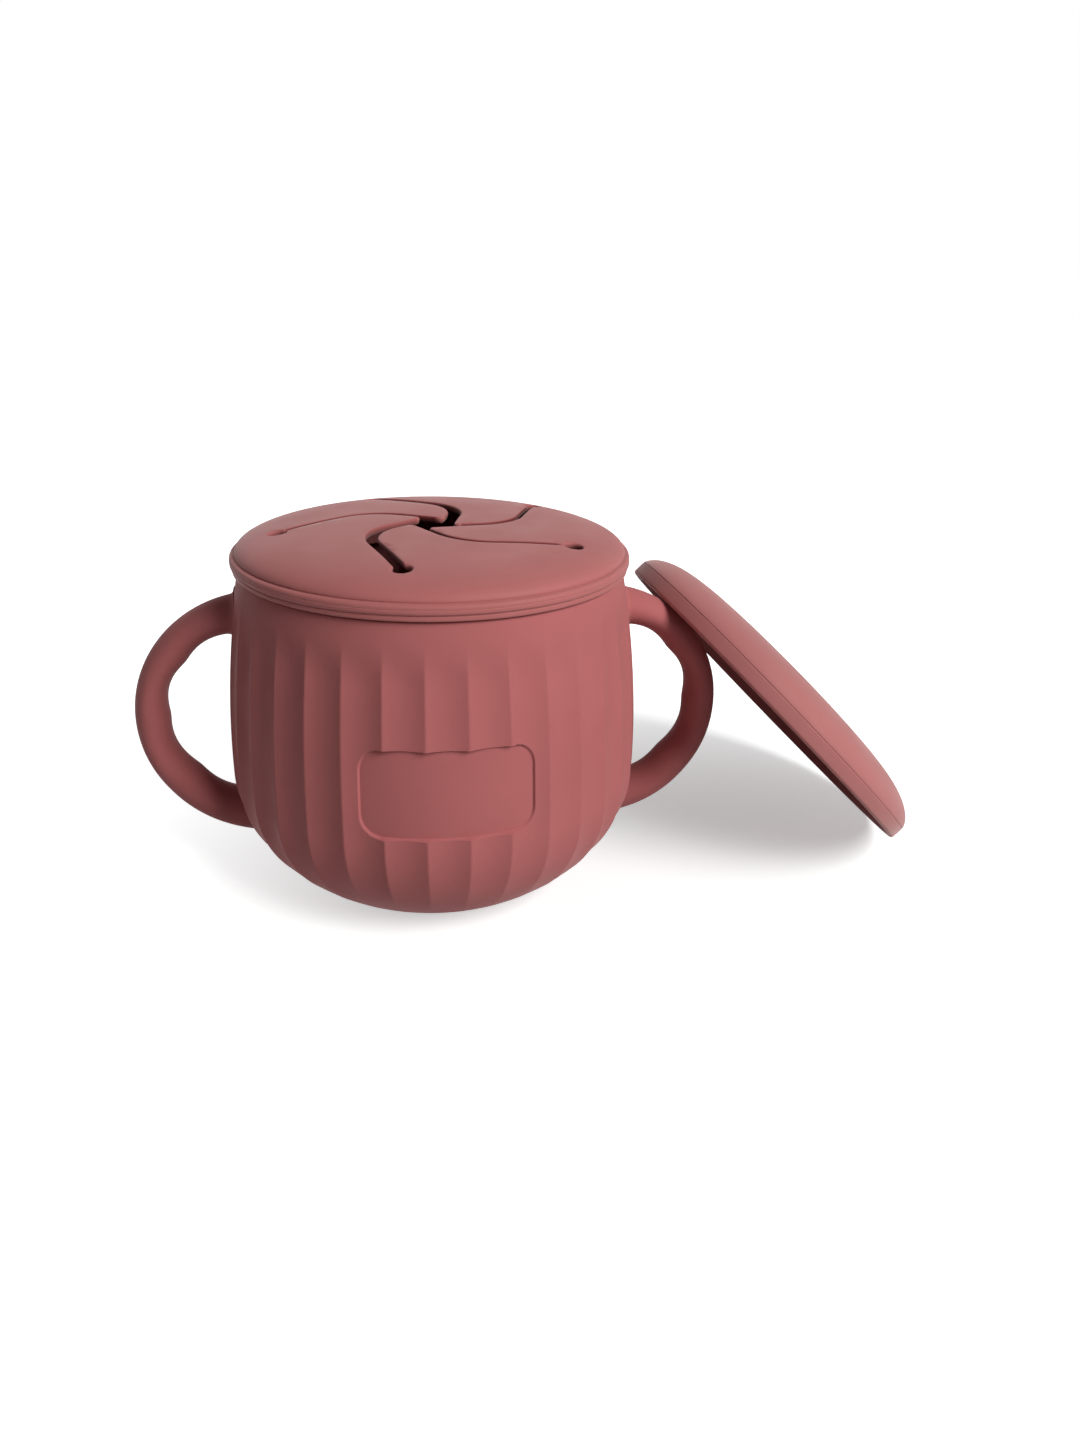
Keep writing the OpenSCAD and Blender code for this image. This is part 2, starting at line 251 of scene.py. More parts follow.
class Nodes:
    """A node tree, with a short way to add a node and wire it at once."""

    def __init__(self, tree: bpy.types.NodeTree) -> None:
        """Takes the tree that the nodes go into."""
        self.tree = tree

    def feed(self, node: bpy.types.Node, inputs: dict[str | int, object]) -> None:
        """Sets a node's inputs to values, or links them to sockets.

        Args:
            node: The node.
            inputs: The value or the socket for each input's name or number.
        """
        for key, source in inputs.items():
            if isinstance(source, bpy.types.NodeSocket):
                self.tree.links.new(source, node.inputs[key])
            else:
                node.inputs[key].default_value = source

    def add(
        self, kind: str, inputs: dict[str | int, object] | None = None, **settings: str
    ) -> bpy.types.Node:
        """Adds a node.

        Args:
            kind: The node's type.
            inputs: A value or a socket for each input that isn't left alone.
            settings: The node's own settings, which come before its inputs.

        Returns:
            The node.
        """
        node = self.tree.nodes.new(kind)
        for name, value in settings.items():
            setattr(node, name, value)
        self.feed(node, inputs or {})
        return node

    def maths(
        self, operation: str, *sources: bpy.types.NodeSocket | float
    ) -> bpy.types.NodeSocket:
        """Adds a Math node on some sockets or numbers and returns its output."""
        node = self.add("ShaderNodeMath", dict(enumerate(sources)), operation=operation)
        return node.outputs[0]


@dataclass(frozen=True)
class Silicone:
    """Matte silicone rubber: a soft bloom on top of an even, dusty colour, with painted shade on the
    walls of narrow slits.
    """

    name: str
    colour: tuple[float, float, float]
    bloom: float
    shine: float = 0.12
    refraction: float = 1.41
    roughness: float = 0.56
    roughness_sway: float = 0.07
    smear_scale: float = 90.0
    tint_sway: float = 0.035
    cloud_scale: float = 38.0
    noise_span: tuple[float, float] = (0.3, 0.7)
    grain_mm: float = 0.35
    grain_depth: float = 0.012
    bloom_roughness: float = 0.5
    bloom_tint: tuple[float, float, float] = (1.0, 0.8, 0.78)
    # colour of the painted shade on the walls of narrow slits
    shade_paint_colour: tuple[float, float, float] = (0.14, 0.022, 0.022)

    @functools.cache
    def material(self) -> bpy.types.Material:
        """Builds the node material, once for all its pieces, and returns it."""
        made = bpy.data.materials.new(self.name)
        made.use_nodes = True
        made.diffuse_color = (*self.colour, 1.0)
        nodes = Nodes(made.node_tree)
        place = nodes.add("ShaderNodeTexCoord").outputs["Object"]
        tint = self._sway(nodes, self._noise(nodes, place, self.cloud_scale, 3.0), 1.0, self.tint_sway)
        shade = nodes.add("ShaderNodeVectorMath", {0: self.colour, "Scale": tint}, operation="SCALE")
        # painted shade: mixes the walls of narrow slits towards the painted shade colour
        depth = nodes.add("ShaderNodeAttribute", attribute_name=SLIT_SHADE_LAYER).outputs["Fac"]
        tones = {"Factor": depth, "A": shade.outputs["Vector"], "B": (*self.shade_paint_colour, 1.0)}
        tone = nodes.add("ShaderNodeMix", tones, data_type="RGBA")
        smear = self._noise(nodes, place, self.smear_scale, 4.0)
        grain = self._noise(nodes, place, 1.0 / (self.grain_mm * MM), 2.0)
        relief = {"Strength": 1.0, "Distance": self.grain_depth * MM, "Height": grain}
        look = {
            "Base Color": tone.outputs["Result"],
            "Roughness": self._sway(nodes, smear, self.roughness, self.roughness_sway),
            "IOR": self.refraction,
            "Specular IOR Level": self.shine,
            "Sheen Weight": self.bloom,
            "Sheen Roughness": self.bloom_roughness,
            "Sheen Tint": (*self.bloom_tint, 1.0),
            "Normal": nodes.add("ShaderNodeBump", relief).outputs["Normal"],
        }
        nodes.feed(made.node_tree.nodes["Principled BSDF"], look)
        return made

    def _noise(
        self, nodes: Nodes, place: bpy.types.NodeSocket, scale: float, detail: float
    ) -> bpy.types.NodeSocket:
        """Adds a noise of that scale and detail over a place, returns its output."""
        sizes = {"Vector": place, "Scale": scale, "Detail": detail}
        return nodes.add("ShaderNodeTexNoise", sizes).outputs["Fac"]

    def _sway(
        self, nodes: Nodes, noise: bpy.types.NodeSocket, middle: float, sway: float
    ) -> bpy.types.NodeSocket:
        """Adds a node that makes a noise sway about a value, returns its output.

        Args:
            nodes: The tree.
            noise: The noise's output.
            middle: The value that it sways about.
            sway: How far it goes to either side.

        Returns:
            The output.
        """
        low, high = self.noise_span
        sizes = {"From Min": low, "From Max": high, "To Min": middle - sway, "To Max": middle + sway}
        return nodes.add("ShaderNodeMapRange", {"Value": noise, **sizes}).outputs["Result"]


CUP_FINISH = Silicone("cup_silicone", (0.425, 0.13, 0.13), bloom=0.09, shine=0.05)
LID_FINISH = Silicone("lid_silicone", (0.42, 0.136, 0.131), bloom=0.16, shine=0.17)
COVER_FINISH = Silicone("cover_silicone", (0.425, 0.155, 0.15), bloom=0.3)


@dataclass
class Flutes:
    """The shallow hollows round the body that meet in ridges."""

    count: int = 34
    depth: float = 0.8
    top: float = 74.0
    fade: float = 9.0
    foot: float = 1.2
    foot_fade: float = 28.0

    def rise(self, z: np.ndarray) -> np.ndarray:
        """Returns how far the flutes have grown in above the foot, 0 to 1."""
        return smooth_step((np.asarray(z, float) - self.foot) / self.foot_fade)

    def hollow(self, degrees: np.ndarray, z: np.ndarray, share: np.ndarray) -> np.ndarray:
        """Works out how deep the hollows are, as the node tree does.

        Args:
            degrees: Angle from +X.
            z: Height above the floor.
            share: The body's radius as a share of its largest one.

        Returns:
            The depth below the ridges.
        """
        turns = (degrees + 90.0) * self.count / 360.0
        off = 2.0 * (turns - np.round(turns))
        full = smooth_step((self.top - z) / self.fade)
        return self.depth * share * full * self.rise(z) * (1.0 - off * off)

    def press(
        self, blank: bpy.types.Object, belly: float, material: bpy.types.Material
    ) -> None:
        """Presses the flutes into a smooth body with Geometry Nodes.

        Args:
            blank: The body, with SHARE_LAYER as a point attribute.
            belly: The body's largest radius in millimetres.
            material: The finish that the tree sets.
        """
        tree = bpy.data.node_groups.new("press_flutes", "GeometryNodeTree")
        given = self._inputs(tree, belly)
        self._wire(Nodes(tree), material)
        modifier = blank.modifiers.new("press_flutes", "NODES")
        modifier.node_group = tree
        for identifier, value in given.items():
            modifier[identifier] = value
        shown = blank.evaluated_get(bpy.context.evaluated_depsgraph_get())
        pressed = bpy.data.meshes.new_from_object(shown)
        blank.modifiers.remove(modifier)
        smooth = blank.data
        blank.data = pressed
        bpy.data.meshes.remove(smooth)
        pressed.name = blank.name

    def _inputs(self, tree: bpy.types.NodeTree, belly: float) -> dict[str, float | int]:
        """Adds the tree's named inputs and returns a value for each.

        Args:
            tree: The node tree.
            belly: The body's largest radius in millimetres.

        Returns:
            The value for each input, by its identifier.
        """
        face = tree.interface
        face.new_socket("Geometry", in_out="INPUT", socket_type="NodeSocketGeometry")
        face.new_socket("Geometry", in_out="OUTPUT", socket_type="NodeSocketGeometry")
        sizes = {
            "Count": self.count,
            "Depth": self.depth * MM,
            "Belly Radius": belly * MM,
            "Top": self.top * MM,
            "Fade": self.fade * MM,
        }
        given: dict[str, float | int] = {}
        for name, value in sizes.items():
            kind = "NodeSocketInt" if isinstance(value, int) else "NodeSocketFloat"
            socket = face.new_socket(name, in_out="INPUT", socket_type=kind)
            given[socket.identifier] = value
        return given

    def _wire(self, nodes: Nodes, material: bpy.types.Material) -> None:
        """Wires the tree: offset inwards, realize, then set the material.

        Args:
            nodes: The tree, with its inputs.
            material: The finish that it sets.
        """
        maths = nodes.maths
        given = nodes.add("NodeGroupInput").outputs
        place = nodes.add("GeometryNodeInputPosition").outputs[0]
        x, y, z = nodes.add("ShaderNodeSeparateXYZ", {0: place}).outputs
        angle = maths("ADD", maths("ARCTAN2", y, x), math.pi / 2)
        turns = maths("DIVIDE", maths("MULTIPLY", angle, given["Count"]), math.tau)
        off = maths("MULTIPLY", maths("SUBTRACT", turns, maths("ROUND", turns)), 2.0)
        shape = maths("SUBTRACT", 1.0, maths("MULTIPLY", off, off))
        full_at = maths("SUBTRACT", given["Top"], given["Fade"])
        rise = {"Value": z, "From Min": given["Top"], "From Max": full_at}
        fullness = nodes.add("ShaderNodeMapRange", rise, interpolation_type="SMOOTHSTEP")
        flat = nodes.add("ShaderNodeCombineXYZ", {0: x, 1: y}).outputs[0]
        radius = nodes.add("ShaderNodeVectorMath", {0: flat}, operation="LENGTH")
        outward = nodes.add("ShaderNodeVectorMath", {0: flat}, operation="NORMALIZE")
        share = nodes.add("GeometryNodeInputNamedAttribute", {"Name": SHARE_LAYER}, data_type="FLOAT")
        size = maths("DIVIDE", radius.outputs["Value"], given["Belly Radius"])
        depth = maths("MULTIPLY", maths("MULTIPLY", given["Depth"], size), shape)
        masked = maths("MULTIPLY", depth, share.outputs["Attribute"])
        amount = maths("MULTIPLY", masked, fullness.outputs["Result"])
        inward = {0: outward.outputs["Vector"], "Scale": maths("MULTIPLY", amount, -1.0)}
        offset = nodes.add("ShaderNodeVectorMath", inward, operation="SCALE").outputs["Vector"]
        move = nodes.add("GeometryNodeSetPosition", {"Geometry": given["Geometry"], "Offset": offset})
        real = nodes.add("GeometryNodeRealizeInstances", {0: move.outputs[0]})
        worn = {"Geometry": real.outputs[0], "Material": material}
        finish = nodes.add("GeometryNodeSetMaterial", worn)
        nodes.add("NodeGroupOutput", {"Geometry": finish.outputs[0]})


@dataclass
class Plaque:
    """The bare recess in front, a rounded oblong laid round the body."""

    half_arc: float = 19.0  # half its width, along the body
    half_height: float = 10.0
    z: float = 42.2
    corner: float = 5.0
    depth: float = 1.3
    wall: float = 0.34  # width of the step round it
    arc_radius: float = 48.3  # radius at which its width is measured

    def sunk(self, degrees: np.ndarray, z: np.ndarray) -> np.ndarray:
        """Returns 0 outside the recess and 1 on its floor.

        Args:
            degrees: Angle from +X.
            z: Height above the floor.

        Returns:
            The share of the recess's depth.
        """
        off = np.abs((degrees + 270.0) % 360.0 - 180.0)
        arc = np.radians(off) * self.arc_radius
        across = arc - (self.half_arc - self.corner)
        along = np.abs(z - self.z) - (self.half_height - self.corner)
        outside = np.hypot(np.maximum(across, 0), np.maximum(along, 0))
        inside = np.minimum(np.maximum(across, along), 0)
        return smooth_step((self.corner - outside - inside) / self.wall)


@dataclass
class Cup:
    """The cup's body: a fluted bowl on a foot, with the recessed plaque."""

    body_h: float = 78.0
    neck_r: float = 43.6
    belly_r: float = 48.7
    belly_z: float = 30.0
    base_r: float = 23.0
    bowl_p: float = 2.04  # fullness of the bowl's lower curve
    bowl_q: float = 1.43  # squareness of that curve
    wall: float = 3.0
    floor_t: float = 3.0
    foot_r: float = 26.0
    foot_h: float = 1.2
    rim_h: float = 2.8
    rim_t: float = 2.0
    columns_per_flute: int = 10
    ridge_half: float = 0.33  # from a ridge to the columns beside it
    end_columns: tuple[int, int] = (15, 22)  # fine columns lie between these
    row_pitch: float = 1.0
    fine_pitch: float = 0.22
    fine_margin: float = 0.6
    wall_pitch: float = 0.1
    wall_margin: float = 0.1
    bowl_rows: int = 44
    bowl_ease: float = 1.45  # above 1, rows crowd towards the foot
    lining_rows: int = 26
    lining_ease: float = 1.7  # above 1, rows crowd towards the floor
    skin_drop: float = 1.0  # from the shoulder down to where the skin ends
    shoulder_drop: float = 0.9  # down to where the rim's profile starts
    mouth_drop: float = 1.5  # down to where it ends inside
    lining_drop: float = 3.0  # down to where the lining starts
    flutes: Flutes = field(default_factory=Flutes)
    plaque: Plaque = field(default_factory=Plaque)

    def radius(self, z: np.ndarray | float) -> np.ndarray:
        """Returns the radius over the flute ridges at a height.

        Args:
            z: Height above the floor.

        Returns:
            The radius.
        """
        z = np.asarray(z, float)
        below = np.clip((self.belly_z - z) / self.belly_z, 0, 1)
        bowl = (1.0 - below**self.bowl_p) ** (1.0 / self.bowl_q)
        above = np.clip((z - self.belly_z) / (self.body_h - self.belly_z), 0, None)
        low = self.base_r + (self.belly_r - self.base_r) * bowl
        high = self.belly_r - (self.belly_r - self.neck_r) * above**2
        return np.where(z < self.belly_z, low, high)

    def skin(self, degrees: np.ndarray, z: np.ndarray) -> np.ndarray:
        """Returns the radius of the fluted skin at an angle and a height."""
        ridge = self.radius(z)
        return ridge - self.flutes.hollow(degrees, z, ridge / self.belly_r)

    @property
    def floor_z(self) -> float:
        """Height of the cup's floor inside."""
        return self.foot_h + self.floor_t

    def inside(self, z: float) -> float:
        """Returns the radius of the cup's inside at a height.

        Args:
            z: Height above the floor.

        Returns:
            The radius.
        """
        if z >= self.belly_z:
            return max(self.neck_r - self.wall, float(self.radius(z)) - self.wall)
        share = (z - self.floor_z) / (self.belly_z - self.floor_z)
        return float(self.radius(self.foot_h + share * (self.belly_z - self.foot_h))) - self.wall

    def _angles(self) -> np.ndarray:
        """Returns the columns' angles in degrees, finer at the plaque's ends."""
        pitch = 360.0 / (self.flutes.count * self.columns_per_flute)
        fine_from, fine_to = (column * pitch for column in self.end_columns)
        to_degrees = math.degrees(1.0 / self.plaque.arc_radius)
        wall_from = (self.plaque.half_arc - self.plaque.wall - self.wall_margin) * to_degrees
        wall_to = (self.plaque.half_arc + self.wall_margin) * to_degrees
        fine = np.concatenate(
            [
                spread(fine_from, wall_from, self.fine_pitch * to_degrees)[:-1],
                spread(wall_from, wall_to, self.wall_pitch * to_degrees)[:-1],
                spread(wall_to, fine_to, self.fine_pitch * to_degrees),
            ]
        )
        coarse = np.arange(self.flutes.count * self.columns_per_flute) * pitch
        ridges = coarse[self.columns_per_flute // 2 :: self.columns_per_flute]
        beside = math.degrees(self.ridge_half / self.belly_r)
        coarse = np.sort(np.concatenate([coarse, ridges - beside, ridges + beside]))
        apart = pitch / 10
        keep = coarse[(coarse > fine_to + apart) & (coarse < 360.0 - fine_to - apart)]
        middle = coarse[coarse < fine_from - apart]
        return np.concatenate([-fine[::-1], -middle[:0:-1], middle, fine, keep]) - 90.0

    def _heights(self) -> np.ndarray:
        """Returns the skin's heights, finer at the plaque's top and bottom."""
        plaque = self.plaque
        low, high = plaque.z - plaque.half_height, plaque.z + plaque.half_height
        edge = plaque.wall + self.wall_margin
        top = self.body_h - self.skin_drop
        fine, wall = self.fine_pitch, self.wall_pitch
        stops = [
            low - self.fine_margin,
            low - self.wall_margin,
            low + edge,
            low + plaque.corner,
            high - plaque.corner,
            high - edge,
            high + self.wall_margin,
            high + self.fine_margin,
            top,
        ]
        pitches = [fine, wall, fine, self.row_pitch, fine, wall, fine, self.row_pitch]
        rows = [spread(*pair, pitch)[:-1] for *pair, pitch in zip(stops, stops[1:], pitches)]
        share = np.linspace(0, 1, self.bowl_rows) ** self.bowl_ease
        bowl = self.foot_h + (stops[0] - self.foot_h) * share
        return np.concatenate([bowl[:-1], *rows, [top]])

    def _foot(self) -> np.ndarray:
        """Draws the foot, from its underside up to the bowl."""
        return rounded(
            [
                Corner(self.foot_r / 2, 0.0),
                Corner(self.foot_r, 0.0, 0.45),
                Corner(self.foot_r, self.foot_h, 0.3),
                Corner(float(self.radius(self.foot_h)) - 0.4, self.foot_h),
            ]
        )

    def _rim(self) -> np.ndarray:
        """Draws the shoulder and the rim, from the skin round to the inside."""
        rim_r = self.neck_r - self.wall + self.rim_t
        top, low = self.body_h + self.rim_h, self.body_h - self.shoulder_drop
        return rounded(
            [
                Corner(float(self.radius(low)), low),
                Corner(self.neck_r, self.body_h, 0.5),
                Corner(rim_r, self.body_h, 0.25),
                Corner(rim_r, top, 0.6),
                Corner(rim_r - self.rim_t, top, 0.6),
                Corner(rim_r - self.rim_t, self.body_h - self.mouth_drop),
            ]
        )

    def _lining(self) -> np.ndarray:
        """Draws the inside, from below the rim down to the middle of the floor."""
        span = self.body_h - self.lining_drop - self.floor_z
        depths = self.floor_z + span * np.linspace(1, 0, self.lining_rows) ** self.lining_ease
        inner = [(self.inside(z), z) for z in depths]
        return np.array([*inner, (inner[-1][0] / 2, self.floor_z)])

    def _shell(self) -> tuple[Shell, np.ndarray]:
        """Builds the smooth body and the share of the flutes at each point."""
        shell = Shell()
        degrees, heights, foot = self._angles(), self._heights(), self._foot()
        skin = np.column_stack([self.radius(heights), heights])
        profile = np.vstack([foot, skin, self._rim(), self._lining()])
        rows = shell.turn(profile, np.radians(degrees))
        shell.cap(rows[0], np.array([0, 0, 0.0]), above=False)
        shell.cap(rows[-1], np.array([0, 0, self.floor_z]), above=True)
        share = np.zeros(shell.count)
        for i, z in enumerate(heights, start=len(foot)):
            sunk = self.plaque.sunk(degrees, np.full(len(degrees), z))
            scale = 1.0 - self.plaque.depth * sunk / float(self.radius(z))
            shell.points[i][:, :2] *= scale[:, None]
            share[rows[i]] = (1.0 - sunk) * self.flutes.rise(z)
        return shell, share

    def dress(self) -> bpy.types.Object:
        """Builds the body, presses its flutes and returns the piece."""
        material = CUP_FINISH.material()
        shell, share = self._shell()
        body = shell.build("cup_shell", material)
        layer = body.data.attributes.new(SHARE_LAYER, "FLOAT", "POINT")
        layer.data.foreach_set("value", share.astype(np.float32))
        self.flutes.press(body, self.belly_r, material)
        worn = body.data.attributes.get(SHARE_LAYER)
        if worn is not None:
            body.data.attributes.remove(worn)
        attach(body, "cup")
        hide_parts("cup_body")
        return body


class Side(Enum):
    """The side of the cup that a grip is on, as the sign of its x."""

    LEFT = -1
    RIGHT = 1


@dataclass
class Grip:
    """A handle: an oval tube bent round, with hollows for small fingers."""

    cup: Cup
    side: Side
    x: float = 39.5
    z: float = 41.2
    outer_r: float = 30.7
    inner_r: float = 20.9
    stretch: float = 2.4
    lift: float = 0.8
    width: float = 11.6
    hollow_depth: float = 0.9
    crest: float = 0.22  # roundness of the crests between the hollows
    wave_middle: float = 0.62
    hollow_start: float = 20.0
    hollow_pitch: float = 38.0
    first_deg: float = -104.0
    last_deg: float = 92.0
    root_from: float = 62.0
    fine_step: float = 0.35
    step: float = 1.5
    sides: int = 48
    fillet: float = 1.6
    sink: float = 1.5  # how deep the ends go into the body's wall

    def opening(self, degrees: float) -> float:
        """Returns the radius of the finger opening's edge at an angle.

        Args:
            degrees: Angle up from the way out of the cup.

        Returns:
            The radius from the handle's own middle.
        """
        turn = math.radians(degrees)
        wave = math.radians((degrees - self.hollow_start) * 180.0 / self.hollow_pitch)
        stretched = self.inner_r + self.stretch * math.cos(turn) + self.lift * math.sin(turn)
        rise = math.hypot(math.cos(wave), self.crest) - self.wave_middle
        return stretched + self.hollow_depth * rise

    def ring(self, degrees: float) -> np.ndarray:
        """Returns one ring of the tube, flared where it meets the body.

        Args:
            degrees: The ring's angle round the handle's own middle.

        Returns:
            The ring's points, for the handle on the right.
        """
        out = np.array([unit(degrees)[0], 0.0, unit(degrees)[1]])
        middle = (self.outer_r + self.opening(degrees)) / 2
        half = (self.outer_r - self.opening(degrees)) / 2
        round_the_tube = np.linspace(0, math.tau, self.sides, endpoint=False)
        centre = np.array([self.x, 0.0, self.z]) + middle * out
        across = np.outer(half * np.cos(round_the_tube), out)
        across[:, 1] += self.width / 2 * np.sin(round_the_tube)
        points = centre + across
        gap = self._gap(points)
        near = np.clip(self.fillet - gap, 0.0, self.fillet)
        flare = self.fillet - np.sqrt(self.fillet**2 - near**2)
        points += across / np.linalg.norm(across, axis=1)[:, None] * flare[:, None]
        deep = np.maximum(-self.sink - self._gap(points), 0.0)
        reach = np.hypot(points[:, 0], points[:, 1])
        points[:, :2] *= (1.0 + deep / reach)[:, None]
        return points

    def _gap(self, points: np.ndarray) -> np.ndarray:
        """Returns how far points stand off the fluted skin.

        Args:
            points: The points.

        Returns:
            The level distance of each, under 0 inside the skin.
        """
        degrees = np.degrees(np.arctan2(points[:, 1], points[:, 0]))
        reach = np.hypot(points[:, 0], points[:, 1])
        return reach - self.cup.skin(degrees, points[:, 2])

    def dress(self, name: str, node: str) -> bpy.types.Object:
        """Builds the grip and returns the piece.

        Args:
            name: The piece's name.
            node: The CAD node that it stands for.

        Returns:
            The piece.
        """
        steps = np.concatenate(
            [
                spread(self.first_deg, -self.root_from, self.fine_step)[:-1],
                spread(-self.root_from, self.root_from, self.step)[:-1],
                spread(self.root_from, self.last_deg, self.fine_step),
            ]
        )
        shell = Shell()
        flip = np.array([self.side.value, 1.0, 1.0])
        rows = [shell.row(self.ring(a) * flip) for a in steps]
        if self.side is Side.RIGHT:
            rows = rows[::-1]
        for low, high in zip(rows, rows[1:]):
            shell.band(low, high)
        first = np.vstack(shell.points)[rows[0]].mean(axis=0)
        last = np.vstack(shell.points)[rows[-1]].mean(axis=0)
        shell.cap(rows[0], first, above=False)
        shell.cap(rows[-1], last, above=True)
        grip = shell.build(name, CUP_FINISH.material(), crease=80.0)
        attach(grip, "cup")
        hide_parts(node)
        return grip


@dataclass(frozen=True)
class Gap:
    """How far a slit stands open, at its hole and at the lid's middle."""

    hole: float
    middle: float

    def along(self, count: int) -> np.ndarray:
        """Returns the gap at some even steps from the hole's end inwards."""
        return self.hole + (self.middle - self.hole) * smooth_step(np.linspace(0, 1, count))


@dataclass
class Slits:
    """The five curved slits of the lid, each ending in a round hole. Points
    are given with the hole of the slit in hand on +X."""

    gaps: tuple[Gap, ...] = (
        Gap(2.4, 3.2),
        Gap(0.9, 1.0),
        Gap(1.2, 1.6),
        Gap(2.3, 3.1),
        Gap(0.9, 1.2),
    )
    hole_r: float = 2.1
    ring_r: float = 34.3
    first_hole: float = -103.0
    lead: float = 31.0  # degrees between a slit's straight and the way inwards
    straight: float = 16.9
    bend_r: float = 13.2
    opening_r: float = 4.9
    tip_r: float = 1.2
    hinge_step: float = 8.0  # from a slit's hole to where the last hinge meets it
    bend_steps: int = 26
    tip_steps: int = 12
    inner_steps: int = 8
    outer_steps: int = 30
    straight_steps: int = 10
    open_gap: float = 5.0  # stands for an opening too wide to get painted shade

    def __post_init__(self) -> None:
        """Works out the directions and places that the sizes lead to."""
        self.count = len(self.gaps)
        self.pitch = 360.0 / self.count
        self.hole = np.array([self.ring_r, 0.0])
        self.dir = 180.0 + self.lead
        bend_start = self.hole + self.straight * unit(self.dir)
        self.bend_at = bend_start - self.bend_r * self._left(self.dir)
        hinge_on_slit = self.hole + self.hinge_step * unit(self.dir)
        self.hinge_end = turned(hinge_on_slit, self.pitch)
        along = self.hinge_end - self.hole
        self.hinge_dir = math.degrees(math.atan2(along[1], along[0]))
        self.mitre = math.sin(math.radians(self.dir + self.pitch - 180.0 - self.hinge_dir))

    def _left(self, degrees: float) -> np.ndarray:
        """Returns the unit vector to the left of a direction."""
        return unit(degrees + 90.0)

    def gap(self, k: int) -> Gap:
        """Returns the gap of a slit, counted from 0 round the lid."""
        return self.gaps[k % self.count]

    def side(self, k: int) -> float:
        """Returns the way from the lid's middle square to a slit's inner end.

        Args:
            k: The slit's number, from 0.

        Returns:
            The angle in degrees.
        """
        side_r = self.opening_r - self.gap(k).middle / 2
        lean = math.acos((side_r - self.bend_r) / np.linalg.norm(self.bend_at))
        return math.degrees(math.atan2(self.bend_at[1], self.bend_at[0]) - lean)

    def seam_start(self, inset: float) -> np.ndarray:
        """Returns where the hinge line leaves the hole, set in from its edge."""
        return self.hole + (self.hole_r + inset) * unit(self.hinge_dir)

    def seam_end(self, k: int, inset: float) -> np.ndarray:
        """Returns where a petal's hinge line meets the next slit's edge."""
        back = (self.gap(k + 1).hole / 2 + inset) / abs(self.mitre)
        return self.hinge_end - back * unit(self.hinge_dir)

    def _bend(self, k: int, way: int, inset: float) -> np.ndarray:
        """Returns the bend's points along a slit's left (1) or right (-1) side.

        Args:
            k: The slit's number, from 0.
            way: 1 for the left side and -1 for the right.
            inset: How far inside the edge the line runs.

        Returns:
            The points.
        """
        steps = np.linspace(self.dir, self.side(k) + 270.0, self.bend_steps)
        reach = self.bend_r + way * (self.gap(k).along(self.bend_steps) / 2 + inset)
        return np.array([self.bend_at + r * self._left(a) for r, a in zip(reach, steps)])

    def _hole_edge(self, start: float, stop: float, count: int, inset: float) -> np.ndarray:
        """Returns points round the hole between two directions."""
        around = np.linspace(start, stop, count)
        return np.array([self.hole + (self.hole_r + inset) * unit(a) for a in around])

    def _mouth(self, k: int, inset: float) -> float:
        """Returns the angle from a slit's centre line to its edge, at the hole."""
        return math.degrees(math.asin((self.gap(k).hole / 2 + inset) / (self.hole_r + inset)))

    def petal(self, k: int, inset: float) -> Line:
        """Draws a petal's free edge from one end of its hinge to the other.

        Args:
            k: The petal's number, from 0, which is that of its first slit.
            inset: How far inside the edge the line runs.

        Returns:
            The points, with the petal on the line's right, and the gap at each.
        """
        near_gap, far_gap = self.gap(k), self.gap(k + 1)
        mouth = self.dir - self._mouth(k, inset)
        hole = self._hole_edge(self.hinge_dir, mouth, self.inner_steps, inset)
        near = self._bend(k, -1, inset)
        first, second = self.side(k), self.side(k + 1) + self.pitch
        near_side = self.opening_r - near_gap.middle - self.tip_r
        far_side = self.opening_r + self.tip_r
        corner = np.linalg.solve([unit(first), unit(second)], [near_side, far_side])
        around = np.linspace(first, second - 180.0, self.tip_steps)
        tip = np.array([corner + (self.tip_r - inset) * unit(a) for a in around])
        far = turned(self._bend(k + 1, 1, inset), self.pitch)[::-1]
        return self._joined(
            [hole, near, tip, far, self.seam_end(k, inset)[None]],
            [
                np.full(len(hole), self.open_gap),
                near_gap.along(self.bend_steps),
                np.full(len(tip), self.open_gap),
                far_gap.along(self.bend_steps)[::-1],
                np.array([far_gap.hole]),
            ],
            [near_gap.hole, near_gap.middle, far_gap.middle, far_gap.hole],
        )

    def surround(self, k: int, inset: float) -> Line:
        """Draws the lid's own edge from the last hinge to this slit's hole.

        Args:
            k: The slit's number, from 0.
            inset: How far inside the edge the line runs.

        Returns:
            The points, with the lid on the line's right, and the gap at each.
        """
        start = turned(self.seam_end(k - 1, inset), -self.pitch)[None]
        first = self.dir + self._mouth(k, inset)
        hole = self._hole_edge(first, self.hinge_dir + 360.0, self.outer_steps, inset)
        gap = self.gap(k).hole
        gaps = [np.array([gap]), np.full(len(hole), self.open_gap)]
        return self._joined([start, hole], gaps, [gap])

    def _joined(
        self,
        stretches: Sequence[np.ndarray],
        gaps: Sequence[np.ndarray],
        between: Sequence[float],
    ) -> Line:
        """Joins stretches of an edge with straight ones.

        Args:
            stretches: The stretches' points, in order.
            gaps: The gap at each of those points.
            between: The gap along each straight stretch that joins them.

        Returns:
            All the points, and the gap at each.
        """
        points, widths = [stretches[0]], [gaps[0]]
        for stretch, gap, width in zip(stretches[1:], gaps[1:], between):
            start, stop = points[-1][-1], stretch[0]
            shares = np.linspace(0, 1, self.straight_steps + 1)[1:-1, None]
            straight = start + (stop - start) * shares
            points += [straight, stretch]
            widths += [np.full(len(straight), width), gap]
        return np.vstack(points), np.concatenate(widths)


